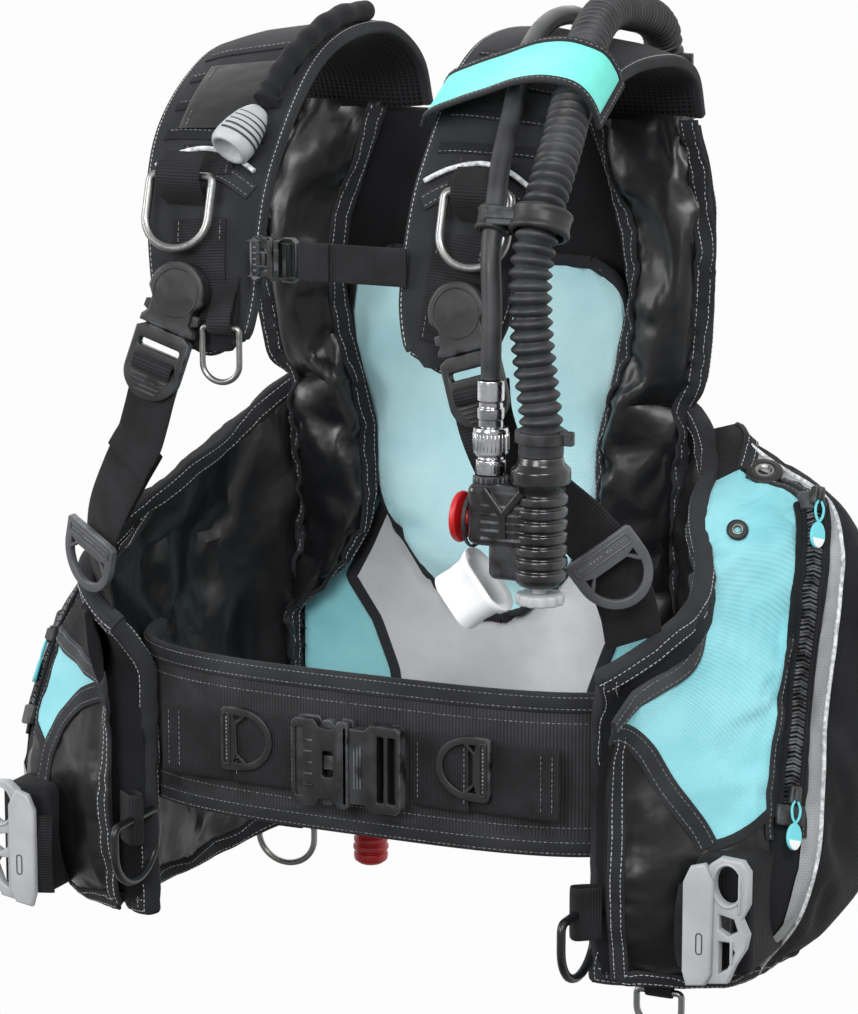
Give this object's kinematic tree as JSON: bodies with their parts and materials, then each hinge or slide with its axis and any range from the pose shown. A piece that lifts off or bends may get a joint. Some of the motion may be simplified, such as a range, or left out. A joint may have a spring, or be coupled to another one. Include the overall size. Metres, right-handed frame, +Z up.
{
  "type": "buoyancy compensator vest",
  "caption": "Jacket style diving vest with wrap-round air lobes, padded shoulders, waist and chest buckles, inflator hose, pockets and a rigid backplate with a tank band.",
  "frame": {"origin": "centre of the flat rear face of the backplate, where the tank rests", "axes": "+X to the wearer's left, -Y to the wearer's front, +Z up; +Y leaves the backplate towards the tank"},
  "size_m": [0.619, 0.4124, 0.6833],
  "materials": {
    "black_nylon": "woven heavy nylon with a fine rib, taped and double stitched edges",
    "gloss_nylon": "coated smooth nylon with a soft sheen, puffed and softly creased",
    "aqua_nylon": "plain woven nylon, matte, fine weave",
    "white_nylon": "plain woven nylon, matte silver white",
    "webbing": "herringbone woven webbing",
    "black_plastic": "moulded, faint grain, rounded edges",
    "grey_plastic": "moulded light grey with a soft gloss",
    "zip_pull": "soft rubbery zip pull",
    "red_plastic": "moulded glossy red",
    "stainless": "bead blasted stainless wire",
    "chrome": "polished plated brass",
    "rubber": "matte black rubber"
  },
  "bodies": {
    "vest": {"back_bladder": "gloss_nylon", "left_lobe": "gloss_nylon", "right_lobe": "gloss_nylon", "cummerbund": "black_nylon", "left_shoulder_pad": "black_nylon", "right_shoulder_pad": "black_nylon", "dump_sleeve": "black_nylon", "back_cushion": "aqua_nylon", "left_pocket": "aqua_nylon", "right_pocket": "aqua_nylon", "lumbar_pad": "white_nylon", "waist_strap_right": "webbing", "left_shoulder_webbing": "webbing", "right_shoulder_webbing": "webbing", "tank_band": "webbing", "waist_buckle_socket": "black_plastic", "right_belt_ring": "black_plastic", "sternum_buckle_socket": "black_plastic", "left_shoulder_buckle_socket": "black_plastic", "right_shoulder_buckle_socket": "black_plastic", "left_strap_ring": "black_plastic", "right_strap_ring": "black_plastic", "hose_elbow": "black_plastic", "hose_clip": "black_plastic", "inflator_body": "black_plastic", "rear_dump_valve": "black_plastic", "backplate": "black_plastic", "cam_buckle_frame": "black_plastic", "mouthpiece": "grey_plastic", "lp_hose_fitting": "chrome", "lp_coupling": "chrome", "corrugated_hose": "rubber", "lp_hose": "rubber"},
    "waist_plug": {"waist_buckle_plug": "black_plastic", "waist_strap_left": "webbing", "left_belt_ring": "black_plastic"},
    "sternum_plug": {"sternum_buckle_plug": "black_plastic", "sternum_strap": "webbing"},
    "left_shoulder_plug": {"left_shoulder_buckle_plug": "black_plastic"},
    "right_shoulder_plug": {"right_shoulder_buckle_plug": "black_plastic"},
    "left_weights": {"left_weight_pouch": "grey_plastic"},
    "right_weights": {"right_weight_pouch": "grey_plastic"},
    "inflate": {"inflate_button": "red_plastic"},
    "deflate": {"deflate_button": "grey_plastic"},
    "quick_coupling": {"coupling_sleeve": "chrome"},
    "shoulder_dump": {"shoulder_dump_knob": "grey_plastic"},
    "rear_dump": {"rear_dump_knob": "red_plastic"},
    "left_upper_zip": {"left_upper_zip_slider": "zip_pull"},
    "left_lower_zip": {"left_lower_zip_slider": "zip_pull"},
    "right_zip": {"right_zip_slider": "zip_pull"},
    "flap": {"hose_flap": "aqua_nylon"},
    "lever": {"cam_lever": "black_plastic"},
    "left_shoulder_d": {"left_shoulder_ring": "stainless"},
    "right_shoulder_d": {"right_shoulder_ring": "stainless"},
    "right_accessory_d": {"right_accessory_ring": "stainless"},
    "left_lobe_d": {"left_lobe_ring": "stainless"},
    "right_lobe_d": {"right_lobe_ring": "stainless"},
    "left_bottom_d": {"left_bottom_ring": "stainless"},
    "rear_bottom_d": {"rear_bottom_ring": "stainless"}
  },
  "joints": [
    {"name": "waist_buckle_release", "type": "slide", "parent": "vest", "child": "waist_plug", "axis": [1, 0, 0], "range_m": [0, 0.028]},
    {"name": "sternum_buckle_release", "type": "slide", "parent": "vest", "child": "sternum_plug", "axis": [1, 0, 0], "range_m": [0, 0.013]},
    {"name": "left_shoulder_buckle_release", "type": "slide", "parent": "vest", "child": "left_shoulder_plug", "axis": [0.2996, -0.0999, -0.9488], "range_m": [0, 0.02]},
    {"name": "right_shoulder_buckle_release", "type": "slide", "parent": "vest", "child": "right_shoulder_plug", "axis": [-0.2996, -0.0999, -0.9488], "range_m": [0, 0.02]},
    {"name": "left_weight_pull", "type": "slide", "parent": "vest", "child": "left_weights", "axis": [0, -1, 0], "range_m": [0, 0.09]},
    {"name": "right_weight_pull", "type": "slide", "parent": "vest", "child": "right_weights", "axis": [0, -1, 0], "range_m": [0, 0.09]},
    {"name": "inflate_press", "type": "slide", "parent": "vest", "child": "inflate", "axis": [1, 0, 0], "range_m": [0, 0.003], "stiffness_N_per_m": 1200, "springref_m": -0.002},
    {"name": "deflate_press", "type": "slide", "parent": "vest", "child": "deflate", "axis": [0, 0, 1], "range_m": [0, 0.004], "stiffness_N_per_m": 900, "springref_m": -0.002},
    {"name": "coupling_draw", "type": "slide", "parent": "vest", "child": "quick_coupling", "axis": [0, 0, 1], "range_m": [0, 0.004], "stiffness_N_per_m": 900, "springref_m": -0.002},
    {"name": "shoulder_dump_pull", "type": "slide", "parent": "vest", "child": "shoulder_dump", "axis": [-0.2648, -0.7186, -0.643], "range_m": [0, 0.008], "stiffness_N_per_m": 300, "springref_m": -0.005},
    {"name": "rear_dump_pull", "type": "slide", "parent": "vest", "child": "rear_dump", "axis": [0, 0, -1], "range_m": [0, 0.012], "stiffness_N_per_m": 300, "springref_m": -0.005},
    {"name": "left_upper_zip_run", "type": "slide", "parent": "vest", "child": "left_upper_zip", "axis": [0.0863, -0.4181, -0.9043], "range_m": [0, 0.045]},
    {"name": "left_lower_zip_run", "type": "slide", "parent": "vest", "child": "left_lower_zip", "axis": [-0.0863, 0.4181, 0.9043], "range_m": [0, 0.07]},
    {"name": "right_zip_run", "type": "slide", "parent": "vest", "child": "right_zip", "axis": [0.0863, 0.4181, 0.9043], "range_m": [-0.025, 0.025]},
    {"name": "flap_open", "type": "hinge", "parent": "vest", "child": "flap", "pos_m": [0.045, -0.246, 0.2115], "axis": [0, -0.867, -0.4983], "range_deg": [0, 100]},
    {"name": "cam_lever_open", "type": "hinge", "parent": "vest", "child": "lever", "pos_m": [-0.024, 0.0324, -0.13], "axis": [0, 0, 1], "range_deg": [0, 150]},
    {"name": "left_shoulder_ring_swing", "type": "hinge", "parent": "vest", "child": "left_shoulder_d", "pos_m": [0.106, -0.31, 0.166], "axis": [-1, 0, 0], "range_deg": [0, 8]},
    {"name": "right_shoulder_ring_swing", "type": "hinge", "parent": "vest", "child": "right_shoulder_d", "pos_m": [-0.106, -0.31, 0.166], "axis": [-1, 0, 0], "range_deg": [0, 110]},
    {"name": "right_accessory_ring_swing", "type": "hinge", "parent": "vest", "child": "right_accessory_d", "pos_m": [-0.069, -0.328, 0.071], "axis": [-1, 0, 0], "range_deg": [0, 110]},
    {"name": "left_lobe_ring_swing", "type": "hinge", "parent": "vest", "child": "left_lobe_d", "pos_m": [0.166, -0.28, -0.308], "axis": [0, 0, 1], "range_deg": [0, 60]},
    {"name": "right_lobe_ring_swing", "type": "hinge", "parent": "vest", "child": "right_lobe_d", "pos_m": [-0.166, -0.28, -0.286], "axis": [0, 0, -1], "range_deg": [0, 60]},
    {"name": "left_bottom_ring_swing", "type": "hinge", "parent": "vest", "child": "left_bottom_d", "pos_m": [0.203, -0.228, -0.373], "axis": [1, 0, 0], "range_deg": [-60, 60]},
    {"name": "rear_bottom_ring_swing", "type": "hinge", "parent": "vest", "child": "rear_bottom_d", "pos_m": [-0.166, -0.052, -0.35], "axis": [1, 0, 0], "range_deg": [-15, 80]}
  ]
}
